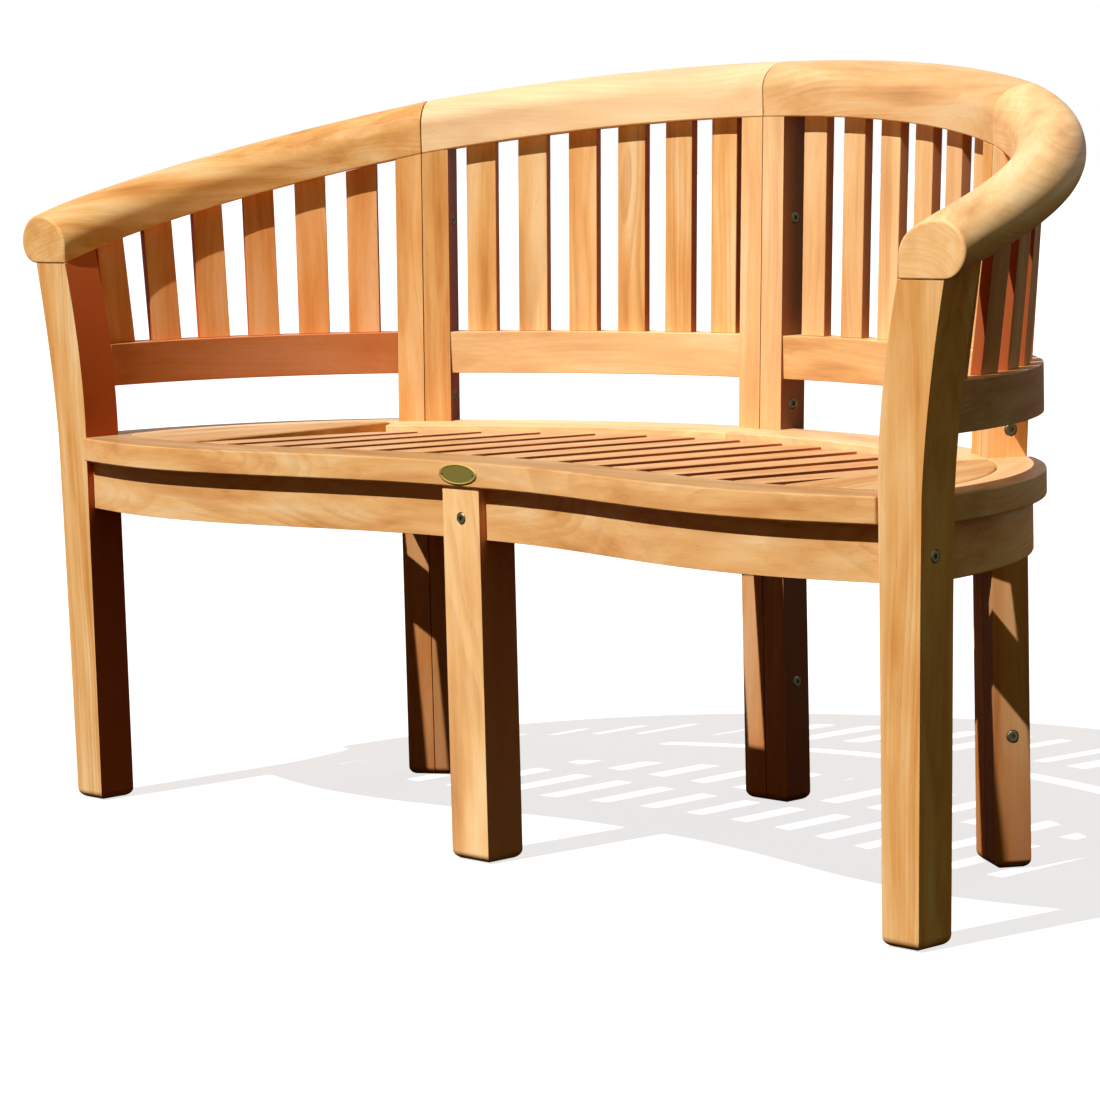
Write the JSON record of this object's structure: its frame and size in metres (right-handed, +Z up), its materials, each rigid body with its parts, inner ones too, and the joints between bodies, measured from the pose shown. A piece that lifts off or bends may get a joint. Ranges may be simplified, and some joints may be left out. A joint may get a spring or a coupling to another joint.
{
  "type": "garden bench",
  "caption": "Curved wooden garden bench: slatted back wrapping into sloping arms, wavy-fronted slatted seat on a ring of boards, and split rear posts bolted together",
  "frame": {"origin": "on the floor, under the middle of the bench's box", "axes": "+X along the bench to the sitter's left, +Y from the front edge to the back, +Z up; the sitter faces -Y"},
  "size_m": [1.482, 0.614, 0.86],
  "materials": {
    "teak": "oiled, satin",
    "steel": "satin",
    "brass": "dull"
  },
  "bodies": {
    "root": {"front_post_left": "teak", "front_post_right": "teak", "middle_leg": "teak", "half_post_arm_left": "teak", "half_post_back_left_outer": "teak", "half_post_back_left_inner": "teak", "half_post_back_right_inner": "teak", "half_post_back_right_outer": "teak", "half_post_arm_right": "teak", "top_rail_arm_left": "teak", "top_rail_back_left": "teak", "top_rail_back_right": "teak", "top_rail_arm_right": "teak", "lower_rail_arm_left": "teak", "lower_rail_back_left": "teak", "lower_rail_back_right": "teak", "lower_rail_arm_right": "teak", "slats_arm_left": "teak", "slats_back_left": "teak", "slats_back_right": "teak", "slats_arm_right": "teak", "seat_board_front": "teak", "seat_board_side_left": "teak", "seat_board_side_right": "teak", "seat_board_back_left": "teak", "seat_board_back_right": "teak", "seat_slat_01": "teak", "seat_slat_02": "teak", "seat_slat_03": "teak", "seat_slat_04": "teak", "seat_slat_05": "teak", "seat_slat_06": "teak", "seat_slat_07": "teak", "seat_slat_08": "teak", "seat_slat_09": "teak", "seat_slat_10": "teak", "seat_slat_11": "teak", "seat_slat_12": "teak", "seat_slat_13": "teak", "seat_end_left": "teak", "seat_end_right": "teak", "apron_front": "teak", "apron_side_left": "teak", "apron_side_right": "teak", "apron_back_left": "teak", "apron_back_right": "teak", "bearer_front": "teak", "bearer_middle": "teak", "bearer_back_left": "teak", "bearer_back_right": "teak", "post_bolts": "steel", "post_nuts": "steel", "seat_bolts": "steel", "trade_plate": "brass", "plate_pins": "brass"}
  },
  "joints": []
}
